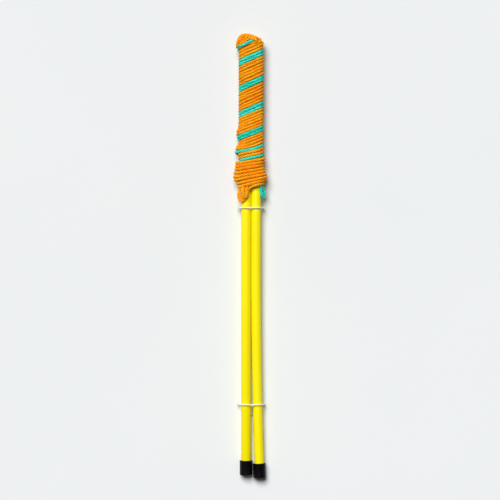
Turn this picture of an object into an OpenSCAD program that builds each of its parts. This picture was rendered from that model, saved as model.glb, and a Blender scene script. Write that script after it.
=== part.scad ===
// Big bubble wand, packed for the shelf. Two tubes lie side by side and the four cords
// that hang between their tips in use are wound round both of them. Millimetres.
// Everything is drawn with the sticks along Y, tips at +Y, and then laid on the floor.

/* [Sticks] */
// Length of each tube
stick_len = 450; // [300:5:600]
// Outer diameter of each tube
stick_d = 10; // [8:0.5:14]
// Wall of each tube
stick_wall = 0.8; // [0.6:0.1:1.2]
// How much lower the right stick sits
stick_offset = 3; // [0:0.5:6]
// Gap between the two tubes where they lie side by side
tip_gap = 0.3; // [0.2:0.1:1]
// Straight upper part of the right tube, which its cap bows away below that
straight_len = 226; // [150:1:260]

/* [End caps] */
// Outer diameter of a cap
cap_d = 13.1; // [12.5:0.1:15]
// Height of a cap
cap_len = 15.5; // [10:0.5:25]
// Thickness of a cap's closed end
cap_floor = 1.8; // [1:0.1:3]
// Radius of the rounded edge at the closed end
cap_edge_r = 1.6; // [0.5:0.1:2]
// Height of the thicker bead round a cap's mouth
cap_bead_len = 1.4; // [0.8:0.1:2.5]
// How far the bead stands proud
cap_bead_out = 0.1; // [0.05:0.05:0.3]
// Gap between the two caps
cap_gap = 0.3; // [0.2:0.1:1]
// Running fit of a cap on its tube, on the radius
cap_clear = 0.05; // [0.02:0.01:0.1]
// Gap between the tube's end and the floor of its cap
cap_seat = 0.3; // [0.1:0.1:0.6]

/* [Tip bushes] */
// Length of a bush inside the tube
bush_len = 8; // [4:0.5:12]
// Thickness of a bush's flange on the tube's end
bush_flange = 1; // [0.6:0.1:1.5]
// Hole that the cord ends pass through
bush_bore_d = 6.8; // [6.4:0.1:7]
// Fit of a bush in the tube, on the radius
bush_clear = 0.03; // [0.01:0.01:0.08]

/* [Cords] */
// Diameter of every cord
cord_d = 2.4; // [2:0.1:2.6]
// Least gap between neighbouring strands
cord_gap = 0.45; // [0.42:0.01:0.6]
// Gap between the cords and the sticks
seat_gap = 0.25; // [0.2:0.05:0.5]

// Rise of the cords above the left tip
dome_rise = 5.6; // [5.4:0.1:7]

/* [Winding] */
// From the left tip down to the first crossing of the green pair
first_drop = 19.5; // [18:0.5:24]
// Rise of one turn in the upper part
lead_top = 26.9; // [25:0.1:30]
// Rise of one turn in the lower part
lead_low = 24.2; // [24.2:0.1:28]
// Turns that have the upper rise
top_turns = 2; // [1:1:3]

/* [Lower wrap] */
// Low turns of the long cord over the end of the winding
wrap_turns = 8; // [4:1:10]
// Step from one low turn to the next
wrap_pitch = 3.1; // [2.9:0.05:3.6]
// Start of the wrap below the left tip
wrap_drop = 128.5; // [120:0.5:140]
// Rise of the low turns from left to right, as a share of the width
wrap_tilt_share = 0.13; // [0:0.01:0.2]

/* [End loops] */
// How far the orange loops hang below the wrap
loop_hang = 16; // [12:0.5:30]
// How far the green loop hangs below the wrap
green_hang = 13; // [10:0.5:30]

/* [Stopper knots] */
// Diameter of a knot
knot_d = 7.6; // [7:0.1:8]
// Length of a knot
knot_len = 8; // [5:0.5:12]
// Slack of the cords between the bush and the knot
knot_slack = 4; // [3.5:0.5:8]

/* [Ties] */
// Diameter of a tie's strand
tie_d = 1.6; // [1:0.1:2]
// Gap between a tie and the sticks
tie_gap = 0.5; // [0.4:0.05:0.8]
// Clear way between the end loops and the upper tie
upper_tie_gap = 3.9; // [3.2:0.1:40]
// Lower tie above the left cap's mouth
lower_tie_rise = 58; // [50:1:150]
// Width of a tie at the back
tie_w = 29; // [26:0.5:34]
// Length of a tie's twisted ends
tail_len = 9; // [6:0.5:14]

/* [Hidden] */

// One overrun serves every cut
over = 1;
// Number of facets on the round pieces
round_fn = 72;

// The tips, and the whole length centred on the origin
tip_y = (stick_offset + stick_len + cap_seat + cap_floor - dome_rise) / 2;

// The tubes lie side by side, and the caps hold the end of the right one away in a shallow bow
half = (stick_d + tip_gap) / 2;
right_tip_y = tip_y - stick_offset;
cap_r = cap_d / 2 + cap_bead_out;
cap_top = tip_y - stick_len - cap_seat - cap_floor + cap_len;
cap_push = 2 * cap_r + cap_gap - 2 * half;
bow_len = stick_len - straight_len;
bow_r = pow(bow_len - (cap_len - cap_floor - cap_seat), 2) / (2 * cap_push);
bow_angle = bow_len / bow_r * 180 / PI;
bow_y = right_tip_y - straight_len;
function right_x(y) = half + (y < bow_y ? bow_r * (1 - cos(asin((bow_y - y) / bow_r))) : 0);

// Strands of the winding: two green, k = 0 and 1, and six orange, all side by side
strands = 8;
cord_r = cord_d / 2;
ring_sides = 6;
arc_steps = 5;
turn_rings = 2 * (arc_steps + 1);
step = cord_d + cord_gap;
// The chord between two rings runs inside the arc, so the rings stand a little further out
chord_share = cos(90 / arc_steps);
near_r = (stick_d / 2 + seat_gap + cord_r) / chord_share;
far_r = near_r + step / chord_share;
function girth(r) = 4 * half + 2 * PI * r;

// Share of a turn at each ring of the oblong path: first the left arc, then the right one
function ring_share(i) = i <= arc_steps
  ? (half + PI * near_r * i / arc_steps) / girth(near_r)
  : (3 * half + PI * near_r * (i - 1) / arc_steps) / girth(near_r);
function ring_of(j) = j - turn_rings * floor(j / turn_rings);
function turn_at(j) = floor(j / turn_rings) + ring_share(ring_of(j));

// A point of the oblong path round both sticks, at ring i and height y
function ring_point(i, y, r) =
  let(left = i <= arc_steps, a = 180 * (left ? i : i - arc_steps - 1) / arc_steps)
  left
    ? [-half - r * sin(a), y, r * cos(a)]
    : [half + r * sin(a), y, -r * cos(a)];

// Height of the winding after so many turns below the first green crossing
pair_y = tip_y - first_drop;
function wound_y(turns) = turns <= top_turns
  ? pair_y - lead_top * turns
  : pair_y - lead_top * top_turns - lead_low * (turns - top_turns);
function strand_y(k, turns) = wound_y(turns - (k - 0.5) / strands);
function strand_point(k, j, extra = 0) =
  ring_point(ring_of(j), strand_y(k, turn_at(j)) + extra * lead_top / strands, near_r);

// A point on the front: s runs leftwards from the middle, along a strand's seat on the sticks
leg_r = stick_d / 2 + seat_gap + cord_r;
function skin_point(s, y, r) =
  let(past = max(abs(s) - half, 0), a = past / leg_r * 180 / PI)
  past > 0
    ? [-sign(s) * (half + r * sin(a)), y, r * cos(a)]
    : [-s, y, r];

// Which tip each strand ends in: -1 left, 1 right
tip_side = [1, -1, -1, 1, 1, 1, -1, -1];
// Where its end stands in the tip's hole, in degrees round it
hole_angle = [300, 168, 258, 30, 120, 210, -12, 78];
hole_ring_r = (cord_d + cord_gap) / sqrt(2);
// How far it rises from the hole, trails back along its turn and lifts there, in cord widths
rise_shares = [2.4, 1.7, 3.1, 1.9, 1.25, 2.3, 2.3, 1.9];
trail_shares = [0.83, 4.8, 2.7, 4, 4.4, 1.7, 0.83, 1.04];
lift_shares = [2.5, 1.5, -0.2, 1, 0.4, 1, 0.6, 0.8];
// The ring at which its regular turns begin
first_ring = [-6, -7, -6, -3, -1, -1, 6, 6];
arch_steps = 7;

function tip_point(k, r, up) =
  let(side = tip_side[k], y = side < 0 ? tip_y : right_tip_y, a = hole_angle[k])
  [side * (half + r * sin(a)), y + up, -side * r * cos(a)];
function curve(a, b, c, d, t) =
  pow(1 - t, 3) * a + 3 * pow(1 - t, 2) * t * b + 3 * (1 - t) * t * t * c + t * t * t * d;

// The first green strand slips under the top of the winding on the front, then crosses
// over the two orange strands beside it on the back
green_cross_y = strand_y(0, -0.5);
green_start = concat(
  [[0, strand_y(5, 0) + 1.9 * step, near_r]],
  [for (i = [0:2]) ring_point(i, strand_y(5, turn_at(i)) + 1.15 * step, near_r + (i == 2 ? 0.4 : 0) * step)],
  [for (i = [3:5]) ring_point(i, green_cross_y, near_r + step)],
  [[half / 10, green_cross_y - cord_r * 0.75, -near_r - 0.8 * step]]
);
// Strands 6 and 7 start one place higher and make room for it
extra_shares = [1, 1, 1, 0.78, 0.5, 0.22];
function start_of(k) =
  k == 0 ? green_start
  : k >= 6 ? [for (i = [k == 6 ? 0 : 2:5]) strand_point(k, i, extra_shares[i])]
  : [];

// The four ends stand straight in the bore down to the knot, and arch over the rim
function tip_route(k, first) =
  let(
    mouth = tip_point(k, hole_ring_r, bush_flange),
    heading = (first[1] - first[0]) / norm(first[1] - first[0]),
    b = mouth + [0, rise_shares[k] * cord_d, 0],
    c = first[0] - trail_shares[k] * cord_d * heading + [0, lift_shares[k] * cord_d, 0]
  )
  concat(
    [tip_point(k, hole_ring_r, -bush_len - knot_slack), tip_point(k, hole_ring_r, -bush_len / 2)],
    [for (n = [0:arch_steps - 1]) curve(mouth, b, c, first[0], n / arch_steps)]
  );

// Legs of the end loops stand side by side on the front
row_start_share = 0.07;
green_row_share = 1.7;
green_spread_share = 1.2;
function leg_s(k) = k >= 2
  ? step * (row_start_share + k - 2)
  : -half - step * (green_row_share - k * green_spread_share);
last_turn = 5;
function leg_turn(k) = last_turn + leg_s(k) / girth(near_r);
function leg_y(k) = strand_y(k, leg_turn(k));
wrap_y = tip_y - wrap_drop;
wrap_end_y = wrap_y - wrap_pitch * wrap_turns;
function helix(k, last) = [
  for (j = [first_ring[k]:turn_rings * (last_turn + 1)])
    if (turn_at(j) < last) strand_point(k, j)
];
// A strand leaves its turn on a short bend and runs down under the wrap
bend_share = 1.3;
function leg_route(k, end_y) =
  let(y = leg_y(k), s = leg_s(k), slope = lead_low / girth(near_r), d = bend_share * cord_d)
  [
    skin_point(s - d, y + slope * d, near_r),
    skin_point(s - 0.3 * d, y + 0.1 * d, (near_r + leg_r) / 2),
    skin_point(s, y - 0.6 * d, leg_r),
    skin_point(s, (y + end_y) / 2, leg_r),
    skin_point(s, end_y, leg_r)
  ];
function wound_route(k, end_y) =
  let(
    turns = helix(k, leg_turn(k) - bend_share * cord_d * 1.6 / girth(near_r)),
    first = concat(start_of(k), turns)
  )
  concat(tip_route(k, first), first, leg_route(k, end_y + 2 * step));

// The bight between two legs, from the left leg to the right one
loop_steps = 4;
function bight(left_s, right_s, y, lean = 0) =
  let(mid = (left_s + right_s) / 2, r = (left_s - right_s) / 2)
  [
    for (n = [0:loop_steps])
      let(a = 180 * n / loop_steps)
      skin_point(mid + r * cos(a) + lean, y - r * sin(a), leg_r)
  ];
function back(route) = [for (i = [len(route) - 1:-1:0]) route[i]];

outer_r = 1.5 * step;
green_r = green_spread_share * step / 2;
loop_y = wrap_end_y - loop_hang + outer_r;
single_y = loop_y + step;
green_y = wrap_end_y - green_hang + green_r;
green_lean = -0.8 * step;
loops_low_y = wrap_end_y - max(loop_hang, green_hang) - cord_r;

green_route = concat(
  wound_route(1, green_y),
  bight(leg_s(1), leg_s(0), green_y, green_lean),
  back(wound_route(0, green_y))
);
orange_1_route = concat(
  wound_route(6, loop_y),
  bight(leg_s(6), leg_s(5), loop_y),
  back(wound_route(5, loop_y))
);
orange_2_route = concat(
  wound_route(3, single_y),
  bight(leg_s(3), leg_s(2), single_y),
  back(wound_route(2, single_y))
);

// The long cord climbs to the outer layer on the back, where its last free turn ends,
// and makes the low turns of the wrap
free_turns = 4;
climb_ring = turn_rings * free_turns + arc_steps + 2;
climb_shares = [0.2, 0.55, 0.85, 1, 1];
wrap_first_ring = climb_ring + len(climb_shares);
wrap_last_ring = wrap_first_ring + turn_rings * wrap_turns + 1;
function wrap_point(j) =
  let(
    turns = turn_at(j) - turn_at(wrap_first_ring),
    y = wrap_y - wrap_pitch * turns,
    flat = ring_point(ring_of(j), y, far_r)
  )
  flat + [0, wrap_tilt_share * flat[0], 0];
last_s = leg_s(7) + 0.15 * step;
long_route = concat(
  tip_route(7, start_of(7)),
  start_of(7),
  [for (j = [first_ring[7]:climb_ring - 1]) strand_point(7, j)],
  [
    for (n = [0:len(climb_shares) - 1])
      let(j = climb_ring + n)
      ring_point(ring_of(j), strand_y(7, turn_at(j)), near_r + climb_shares[n] * (far_r - near_r))
  ],
  [for (j = [wrap_first_ring:wrap_last_ring]) wrap_point(j)],
  [
    skin_point(last_s - step / 4, wrap_end_y - 1.5 * step, far_r),
    skin_point(last_s, wrap_end_y - 2.6 * step, leg_r + 0.5 * step),
    skin_point(last_s, wrap_end_y - 3.6 * step, leg_r)
  ],
  bight(last_s, leg_s(4), loop_y),
  back(wound_route(4, loop_y))
);

// Least gap between the stretches of one cord that lie further apart along it than a bend
near_rings = 4;
function off(p, a, b) =
  let(ab = b - a, t = max(0, min(1, (p - a) * ab / (ab * ab))))
  norm(p - a - t * ab);
function least_gap(route) = min([
  for (i = [0:len(route) - 1])
    for (m = [i + near_rings:1:len(route) - 2])
      off(route[i], route[m], route[m + 1])
]) - cord_d;
echo(str("green_cord: least gap to itself ", least_gap(green_route), " mm"));
echo(str("orange_cord_1: least gap to itself ", least_gap(orange_1_route), " mm"));
echo(str("orange_cord_2: least gap to itself ", least_gap(orange_2_route), " mm"));
echo(str("orange_long_cord: least gap to itself ", least_gap(long_route), " mm"));

// A tie runs straight over the fronts of both sticks, slants out to its width at the back
// and closes there in two twisted ends
tie_r = tie_d / 2;
upper_tie_y = loops_low_y - upper_tie_gap - tie_r;
lower_tie_y = cap_top + lower_tie_rise;
tie_out = stick_d / 2 + tie_gap + tie_r;
tie_corner = 1.5 * tie_d;
tie_rings = [65, 42, 20];
tail_sink_share = 0.82;
tail_turns = 2;
tail_steps = 6;
tail_r = tie_r + tie_gap / 4;
function tie_half(x) = concat(
  [[0, 0, tie_out], [x, 0, tie_out]],
  [for (a = tie_rings) [x + tie_out * cos(a), 0, tie_out * sin(a)]],
  [
    [tie_w / 2 - tie_r, 0, -tie_out + 1.6 * tie_corner],
    [tie_w / 2 - tie_r - tie_corner / 4, 0, -tie_out + tie_corner / 3],
    [tie_w / 2 - tie_r - 1.3 * tie_corner, 0, -tie_out],
    [2.5 * tie_corner, 0, -tie_out],
    [1.1 * tie_corner, -tie_corner / 6, -tie_out * tail_sink_share - tie_r / 2]
  ]
);
function tie_tail() = [
  for (n = [0:tail_turns * tail_steps])
    let(a = 360 * n / tail_steps)
    [
      tail_r * cos(a),
      -tie_corner - tail_len * n / (tail_turns * tail_steps),
      -tie_out * tail_sink_share + tail_r * sin(a)
    ]
];
function flipped(route) = [for (p = route) [-p[0], p[1], p[2]]];
function half_turned(route, z) = [for (p = route) [-p[0], p[1], 2 * z - p[2]]];
function tie_route(y) =
  let(
    right = concat(tie_half(right_x(y)), tie_tail()),
    left = concat(flipped(tie_half(half)), half_turned(tie_tail(), -tie_out * tail_sink_share)),
    whole = concat(back(right), [for (i = [1:len(left) - 1]) left[i]])
  )
  [for (p = whole) p + [0, y, 0]];

// Laid on the floor, the part rests on its wrap and on its caps
wrap_low = far_r + cord_r;
wrap_rest_y = wrap_end_y + cord_r;
cap_rest_y = right_tip_y - stick_len - cap_seat - cap_floor + cap_edge_r;
lie_angle = atan((wrap_low - cap_d / 2) / (wrap_rest_y - cap_rest_y));
lift = wrap_low * cos(lie_angle) - wrap_rest_y * sin(lie_angle);
module laid() {
  translate([0, 0, lift])
    rotate([lie_angle, 0, 0])
      children();
}

// Places a piece that is drawn down from z = 0 along the axis of one stick
module on_stick(side) {
  laid()
    translate([side * half, side < 0 ? tip_y : right_tip_y, 0])
      rotate([-90, 0, 0])
        children();
}

// Turns a piece that is drawn along the straight stick to the end of the bow
module past_bow() {
  translate([bow_r * (1 - cos(bow_angle)), 0, -straight_len - bow_r * sin(bow_angle)])
    rotate([0, -bow_angle, 0])
      translate([0, 0, stick_len])
        children();
}

// A round tube swept along a route, closed at both ends, in triangles
function unit(v) = v / norm(v);
function tangents(p) = [
  for (i = [0:len(p) - 1])
    unit(p[min(i + 1, len(p) - 1)] - p[max(i - 1, 0)])
];
function squared(n, t) = unit(n - (n * t) * t);
function carried(t, first) = [
  for (i = 0, n = squared(first, t[0]); i < len(t); i = i + 1, n = i < len(t) ? squared(n, t[i]) : n)
    n
];
module tube(route, d, sides) {
  t = tangents(route);
  n = carried(t, [0.8, 0.1, 0.6]);
  rings = len(route);
  points = [
    for (i = [0:rings - 1])
      for (m = [0:sides - 1])
        let(a = 360 * m / sides, b = cross(t[i], n[i]))
        route[i] + d / 2 * (cos(a) * n[i] + sin(a) * b)
  ];
  walls = [
    for (i = [0:rings - 2])
      for (m = [0:sides - 1])
        let(a = i * sides + m, b = i * sides + (m + 1) % sides)
        each [[a, a + sides, b], [b, a + sides, b + sides]]
  ];
  ends = [
    for (m = [1:sides - 2])
      each [[0, m, m + 1], [(rings - 1) * sides, (rings - 1) * sides + m + 1, (rings - 1) * sides + m]]
  ];
  polyhedron(points = points, faces = concat(walls, ends), convexity = 20);
}

// A stretch of the tube, from top down along its axis
module run(top, len, d) {
  translate([0, 0, top - len])
    cylinder(d = d, h = len, $fn = round_fn);
}
module stick_tube() {
  difference() {
    run(0, stick_len, stick_d);
    run(over, stick_len + 2 * over, stick_d - 2 * stick_wall);
  }
}

// The right tube: straight, then a shallow bow towards +X
bow_fn = 3600;
module bowed_run(d, extra) {
  run(extra, straight_len + extra, d);
  translate([bow_r, 0, -straight_len])
    rotate([90, 0, 0])
      rotate([0, 0, 180])
        rotate_extrude(angle = bow_angle * (1 + extra / bow_len), $fn = bow_fn)
          translate([bow_r, 0])
            circle(d = d, $fn = round_fn);
}
module bowed_tube() {
  difference() {
    bowed_run(stick_d, 0);
    bowed_run(stick_d - 2 * stick_wall, over);
  }
}

// Push-on cap: a closed sleeve with a rounded end and a soft bead round its mouth
module push_cap() {
  bore_r = stick_d / 2 + cap_clear;
  out_r = cap_d / 2;
  e = cap_edge_r;
  b = cap_bead_len;
  translate([0, 0, -stick_len - cap_floor - cap_seat])
    rotate_extrude($fn = round_fn)
      union() {
        difference() {
          union() {
            translate([0, e])
              square([out_r, cap_len - e - b / 2]);
            square([out_r - e, e]);
            translate([out_r - e, e])
              circle(r = e, $fn = round_fn);
            translate([0, cap_len - b])
              square([out_r + cap_bead_out - b / 4, b]);
            translate([out_r + cap_bead_out - b / 2, cap_len - b / 2])
              circle(d = b, $fn = round_fn);
          }
          translate([0, cap_floor])
            square([bore_r, cap_len]);
          translate([-out_r, -over])
            square([out_r, cap_len + 2 * over]);
        }
      }
}

// Flanged bush that smooths the tube's open end for the cords
module flanged_bush() {
  lip_r = bush_flange / 2;
  rotate_extrude($fn = round_fn)
    difference() {
      union() {
        square([stick_d / 2 - lip_r, bush_flange]);
        translate([stick_d / 2 - lip_r, lip_r])
          circle(r = lip_r, $fn = round_fn);
        translate([0, -bush_len])
          square([stick_d / 2 - stick_wall - bush_clear, bush_len]);
      }
      translate([0, -bush_len - over])
        square([bush_bore_d / 2, bush_len + bush_flange + 2 * over]);
      translate([-stick_d, -bush_len - over])
        square([stick_d, bush_len + bush_flange + 2 * over]);
    }
}

// Knot of the four cord ends: three fat turns pulled tight, flat where the cords enter
module stopper_knot() {
  turns = 3;
  turn_r = knot_len / turns / 2;
  translate([0, 0, -bush_len - knot_slack - knot_len])
    rotate_extrude($fn = round_fn)
      difference() {
        union() {
          square([knot_d / 2 - turn_r, knot_len]);
          for (n = [0:turns - 1])
            translate([knot_d / 2 - turn_r, turn_r * (2 * n + 1)])
              circle(r = turn_r, $fn = round_fn);
        }
        translate([-knot_d, -over])
          square([knot_d, knot_len + 2 * over]);
      }
}

module left_stick() {
  color([1, 0.9, 0.02])
    on_stick(-1)
      stick_tube();
}
module right_stick() {
  color([1, 0.9, 0.02])
    on_stick(1)
      bowed_tube();
}
module left_end_cap() {
  color([0.06, 0.06, 0.06])
    on_stick(-1)
      push_cap();
}
module right_end_cap() {
  color([0.06, 0.06, 0.06])
    on_stick(1)
      past_bow()
        push_cap();
}
module left_tip_bush() {
  color([0.9, 0.8, 0.05])
    on_stick(-1)
      flanged_bush();
}
module right_tip_bush() {
  color([0.9, 0.8, 0.05])
    on_stick(1)
      flanged_bush();
}
module left_stopper_knot() {
  color([0.95, 0.45, 0.05])
    on_stick(-1)
      stopper_knot();
}
module right_stopper_knot() {
  color([0.95, 0.45, 0.05])
    on_stick(1)
      stopper_knot();
}
module green_cord() {
  color([0.25, 0.8, 0.6])
    laid()
      tube(green_route, cord_d, ring_sides);
}
module orange_cord_1() {
  color([0.97, 0.55, 0.1])
    laid()
      tube(orange_1_route, cord_d, ring_sides);
}
module orange_cord_2() {
  color([0.98, 0.62, 0.15])
    laid()
      tube(orange_2_route, cord_d, ring_sides);
}
module orange_long_cord() {
  color([0.95, 0.5, 0.08])
    laid()
      tube(long_route, cord_d, ring_sides);
}
module upper_tie() {
  color([0.93, 0.95, 0.93])
    laid()
      tube(tie_route(upper_tie_y), tie_d, ring_sides);
}
module lower_tie() {
  color([0.93, 0.95, 0.93])
    laid()
      tube(tie_route(lower_tie_y), tie_d, ring_sides);
}

left_stick();
right_stick();
left_end_cap();
right_end_cap();
left_tip_bush();
right_tip_bush();
left_stopper_knot();
right_stopper_knot();
green_cord();
orange_cord_1();
orange_cord_2();
orange_long_cord();
upper_tie();
lower_tie();
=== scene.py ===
# %% [markdown]
# # A bubble wand, packed with its cords wound round its sticks
#
# The real thing is two yellow plastic tubes side by side. In use, cords hang between their
# tips and carry a film of soap. On the shelf, the cords are wound round both tubes, the end
# of the longest one is wrapped over the rest, and two milky ties hold the tubes.
#
# The CAD model says where each part is and how it moves. This script dresses it: rope in
# place of plain round cords, moulded and bevelled plastic in place of plain solids.

# %% The frame, and the CAD model brought in
import math

import bmesh
import bpy
import numpy as np
from mathutils import Matrix, Vector


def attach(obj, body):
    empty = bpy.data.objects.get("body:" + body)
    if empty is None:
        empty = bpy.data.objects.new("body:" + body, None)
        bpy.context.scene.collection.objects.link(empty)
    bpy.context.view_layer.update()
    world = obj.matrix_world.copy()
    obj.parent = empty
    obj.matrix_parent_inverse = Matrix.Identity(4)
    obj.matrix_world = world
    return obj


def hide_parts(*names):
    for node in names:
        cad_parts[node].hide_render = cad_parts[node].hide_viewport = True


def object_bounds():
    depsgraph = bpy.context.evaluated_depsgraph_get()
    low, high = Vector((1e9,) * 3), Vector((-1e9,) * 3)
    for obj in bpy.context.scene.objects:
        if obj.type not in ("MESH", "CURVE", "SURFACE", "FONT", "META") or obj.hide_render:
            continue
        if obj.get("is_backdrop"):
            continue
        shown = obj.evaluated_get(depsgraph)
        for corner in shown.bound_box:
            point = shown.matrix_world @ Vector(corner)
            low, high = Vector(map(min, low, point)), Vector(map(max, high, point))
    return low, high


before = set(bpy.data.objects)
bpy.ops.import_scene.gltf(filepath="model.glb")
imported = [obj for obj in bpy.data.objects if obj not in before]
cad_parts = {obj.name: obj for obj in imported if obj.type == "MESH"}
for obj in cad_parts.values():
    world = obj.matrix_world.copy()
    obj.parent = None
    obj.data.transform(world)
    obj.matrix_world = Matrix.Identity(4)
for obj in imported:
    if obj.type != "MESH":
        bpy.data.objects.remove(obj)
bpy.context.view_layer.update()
bpy.ops.object.select_all(action="DESELECT")

# %% [markdown]
# ## The camera
#
# The wand lies flat and the camera looks straight down on it from far away, so both ends
# have the same scale. A lens of any length would do; a long one from 3 metres keeps the
# perspective as weak as the real picture's. Its length follows from the width of the view.

# %% A camera straight above
MM = 0.001
VIEW_WIDTH = 517.5 * MM
VIEW_CENTRE = (-1.09 * MM, 6.31 * MM)
EYE_HEIGHT = 3.0
SIGHT_LEVEL = 12 * MM
SENSOR_WIDTH = 36
FAR_CLIP = 10
bpy.ops.object.camera_add(location=(*VIEW_CENTRE, SIGHT_LEVEL + EYE_HEIGHT), rotation=(0, 0, 0))
camera = bpy.context.object
camera.data.sensor_width = SENSOR_WIDTH
camera.data.lens = SENSOR_WIDTH * EYE_HEIGHT / VIEW_WIDTH
camera.data.clip_end = FAR_CLIP
bpy.context.scene.camera = camera
print("lens:", round(camera.data.lens, 1), "mm")

# %% [markdown]
# ## The sizes
#
# The sizes are the CAD model's, in millimetres. All pieces are drawn with the sticks
# along Y in one flat plane, the way they are made, and then laid on the floor with one
# small turn, because the wrap lifts one end and the caps lift the other. HALF is half the
# distance between the sticks' middles. The right stick is straight for a while and then
# bows, because its cap pushes it away from the left one.

# %% Sizes in millimetres
STICK_LEN = 450
STICK_D = 10
STICK_WALL = 0.8
STICK_OFFSET = 3
HALF = 5.15
STRAIGHT_LEN = 226
CAP_D = 13.1
CAP_LEN = 15.5
CAP_FLOOR = 1.8
CAP_EDGE_R = 1.6
CAP_BEAD_LEN = 1.4
CAP_BEAD_OUT = 0.1
CAP_GAP = 0.3
CAP_CLEAR = 0.05
CAP_SEAT = 0.3
BUSH_LEN = 8
BUSH_FLANGE = 1
BUSH_BORE_D = 6.8
BUSH_CLEAR = 0.03
KNOT_D = 7.6
KNOT_LEN = 8
KNOT_SLACK = 4
DOME_RISE = 5.6
TIP_Y = (STICK_OFFSET + STICK_LEN + CAP_SEAT + CAP_FLOOR - DOME_RISE) / 2
RIGHT_TIP_Y = TIP_Y - STICK_OFFSET
TIP_HEIGHTS = {-1: TIP_Y, 1: RIGHT_TIP_Y}
CAP_R = CAP_D / 2 + CAP_BEAD_OUT
CAP_TOP = TIP_Y - STICK_LEN - CAP_SEAT - CAP_FLOOR + CAP_LEN
BOW_LEN = STICK_LEN - STRAIGHT_LEN
BOW_REACH = BOW_LEN - (CAP_LEN - CAP_FLOOR - CAP_SEAT)
BOW_R = BOW_REACH**2 / (2 * (2 * CAP_R + CAP_GAP - 2 * HALF))
BOW_ANGLE = BOW_LEN / BOW_R
BOW_Y = RIGHT_TIP_Y - STRAIGHT_LEN
print("left tip at", TIP_Y, "mm, right tip at", RIGHT_TIP_Y, "mm")

# %% [markdown]
# ## The routes of the cords
#
# Each of the four cords starts at a knot inside one tube, comes out of its tip, goes round
# and round both tubes beside its neighbours, hangs in a loop below the winding, and comes
# back the same way. Side by side that makes eight strands, which are numbered upwards: the
# green pair is 0 and 1, and 2 to 7 are orange.
#
# A route could be drawn by hand as a curve with thousands of points. It is better worked
# out: round two tubes, a taut cord runs on an oblong path of two half circles and two
# straight stretches, and falls by one lead in each turn. The path is cut into rings, places
# that every turn passes in the same order.

# %% The oblong path round both sticks
ROPE_R = 1.53
LAYER = 2.55
ARC_STEPS = 5
TURN_RINGS = 2 * (ARC_STEPS + 1)
NEAR_R = STICK_D / 2 + ROPE_R
FAR_R = NEAR_R + LAYER
GIRTH = 4 * HALF + 2 * math.pi * NEAR_R
ARC_LEN = math.pi * NEAR_R
RING_RUNS = [HALF + ARC_LEN * i / ARC_STEPS for i in range(ARC_STEPS + 1)]
RING_RUNS += [run + 2 * HALF + ARC_LEN for run in RING_RUNS] + [GIRTH + HALF]


def turn_at(ring):
    """Turns made at a ring, which may be a fraction; ring 0 is on the left stick's front."""
    turns, part = divmod(ring, TURN_RINGS)
    return turns + np.interp(part, range(TURN_RINGS + 1), RING_RUNS) / GIRTH


def ring_point(ring, y, r):
    """A point of the path: down the left side, across the back, up the right side."""
    part = ring % TURN_RINGS
    side = -1 if part < ARC_STEPS + 1 else 1
    share = (part if side < 0 else part - ARC_STEPS - 1) / ARC_STEPS
    if share <= 1:
        x, z = HALF + r * math.sin(math.pi * share), -r * math.cos(math.pi * share)
        return np.array([side * x, y, side * z])
    across = (share - 1) * ARC_STEPS
    return np.array([side * HALF * (1 - 2 * across), y, side * r])


def skin_point(s, y, r):
    """A point on the front, s millimetres left of the middle along the sticks' surface."""
    past = max(abs(s) - HALF, 0) / NEAR_R
    if past == 0:
        return np.array([-s, y, r])
    return np.array([-math.copysign(HALF + r * math.sin(past), s), y, r * math.cos(past)])


print("one turn is", round(GIRTH, 1), "mm of cord")

# %% [markdown]
# A hand never winds as evenly as a machine. Each strand wanders by a tenth or two of a
# millimetre. Near the wrap one green strand climbs over two orange ones on the back, and
# crosses back over them further down, on the back as well. On the left the cords stand off
# in two slack places. These small faults are what makes the winding look wound.

# %% The height of each strand, with a hand's small faults
STRANDS = 8
FIRST_DROP = 19.5
LEAD_TOP = 26.9
LEAD_LOW = 24.2
TOP_TURNS = 2
PAIR_Y = TIP_Y - FIRST_DROP
WANDERS = ((0.16, 2.3, 1.9), (0.1, 8.1, 4.3))
WANDER_STARTS = (0.2, 0.8)
CLIMBER = 1
CLIMBS = (3.36, 3.6)
CROSSES_BACK = (4.26, 4.55)
CLIMBER_LIFTS = ((3.28, 3.37, 3.6, 3.69), (4.2, 4.27, 4.5, 4.58))
LOOSENESS, LOOSE_RATE, LOOSE_OWN = 0.07, 3.7, 2.6
SLACK_PLACES = ((2.6, 126.5, 5.5), (3.2, 108, 5))
FLATTER = 0.2
FLATTER_BELOW = 119
FLATTER_FADE = 11
UP = np.array([0.0, 1.0, 0.0])


def ease(value, start, end):
    """0 before start, 1 after end, and smooth between."""
    t = min(max((value - start) / (end - start), 0), 1)
    return t * t * (3 - 2 * t)


def bump(value, start, top, drop, end):
    """Rises from start to top and falls from drop to end."""
    return ease(value, start, top) - ease(value, drop, end)


def hill(value, top, width):
    """1 at the top, and lower on both sides."""
    return math.exp(-(((value - top) / width) ** 2))


def wound_y(turns):
    """Height of the winding after so many turns below the first green crossing."""
    return PAIR_Y - LEAD_TOP * min(turns, TOP_TURNS) - LEAD_LOW * max(turns - TOP_TURNS, 0)


def shifted(k, turns):
    """Places that a strand has moved up, where the climber goes over two others."""
    crossed = ease(turns, *CLIMBS) - ease(turns, *CROSSES_BACK)
    return {CLIMBER: 2 * crossed, 2: -crossed, 3: -crossed}.get(k, 0)


def strand_y(k, turns):
    """Height of strand k, with its wandering."""
    wander = sum(size * math.sin(rate * turns + own * k) for size, rate, own in WANDERS)
    row = wound_y(turns - (k - 0.5 + shifted(k, turns)) / STRANDS)
    return row + wander * ease(turns, *WANDER_STARTS)


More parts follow.
